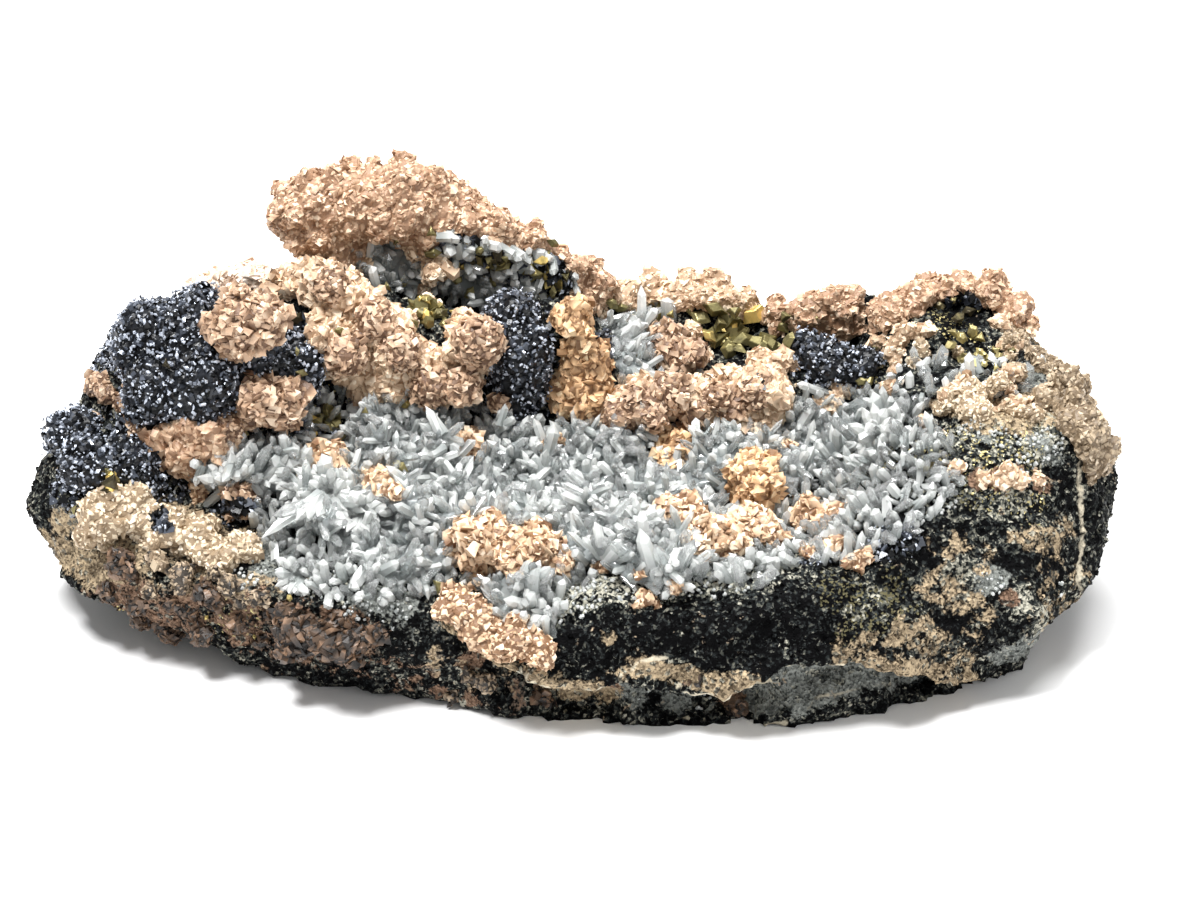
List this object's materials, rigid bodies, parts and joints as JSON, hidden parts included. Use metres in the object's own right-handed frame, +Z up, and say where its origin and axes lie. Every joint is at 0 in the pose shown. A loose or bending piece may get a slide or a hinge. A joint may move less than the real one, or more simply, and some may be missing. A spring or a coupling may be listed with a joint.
{
  "type": "rhodochrosite specimen",
  "caption": "Cabinet mineral specimen: pink rhodochrosite rosettes and crusts with clear quartz points, black sphalerite and brassy chalcopyrite on a dark ore block that rests on a flat foot.",
  "frame": {"origin": "middle of the flat face that the block rests on", "axes": "+Z up, +X to the right as seen from the show side, +Y away from the show side"},
  "size_m": [0.1643, 0.0876, 0.0581],
  "materials": {
    "matrix": "rough, granular, dark grey with black and tan grains",
    "rhodochrosite": "satin, finely bladed, pale peach pink",
    "quartz": "clear, glossy",
    "sphalerite": "black, finely faceted, bright glints",
    "chalcopyrite": "brassy metallic, slightly tarnished",
    "pyrite": "pale brassy metallic"
  },
  "bodies": {
    "root": {"chalcopyrite_back_hollow": "chalcopyrite", "chalcopyrite_left_end": "chalcopyrite", "chalcopyrite_ridge_foot": "chalcopyrite", "chalcopyrite_valley_left": "chalcopyrite", "chalcopyrite_valley_right": "chalcopyrite", "matrix": "matrix", "pyrite_right_hollow": "pyrite", "quartz_back_hollow": "quartz", "quartz_basin": "quartz", "quartz_fan": "quartz", "quartz_right_hollow": "quartz", "quartz_valley": "quartz", "rhodochrosite_back_knob": "rhodochrosite", "rhodochrosite_back_lobe": "rhodochrosite", "rhodochrosite_back_ridge": "rhodochrosite", "rhodochrosite_column_band": "rhodochrosite", "rhodochrosite_front_band": "rhodochrosite", "rhodochrosite_left_foot": "rhodochrosite", "rhodochrosite_left_shoulder": "rhodochrosite", "rhodochrosite_lower_front": "rhodochrosite", "rhodochrosite_mound_back": "rhodochrosite", "rhodochrosite_ridge": "rhodochrosite", "rhodochrosite_right_end": "rhodochrosite", "rhodochrosite_right_rim": "rhodochrosite", "rhodochrosite_saddle": "rhodochrosite", "rosette_basin_back_left": "rhodochrosite", "rosette_basin_back_right": "rhodochrosite", "rosette_basin_centre": "rhodochrosite", "rosette_basin_left": "rhodochrosite", "rosette_basin_right": "rhodochrosite", "rosette_fan": "rhodochrosite", "rosette_left_small": "rhodochrosite", "rosette_mound_crest": "rhodochrosite", "rosette_mound_face": "rhodochrosite", "rosettes_front_pair": "rhodochrosite", "rosettes_front_right": "rhodochrosite", "rosettes_right_edge": "rhodochrosite", "rosettes_valley": "rhodochrosite", "sphalerite_column": "sphalerite", "sphalerite_left_end": "sphalerite", "sphalerite_mound": "sphalerite", "sphalerite_saddle": "sphalerite"}
  },
  "joints": []
}
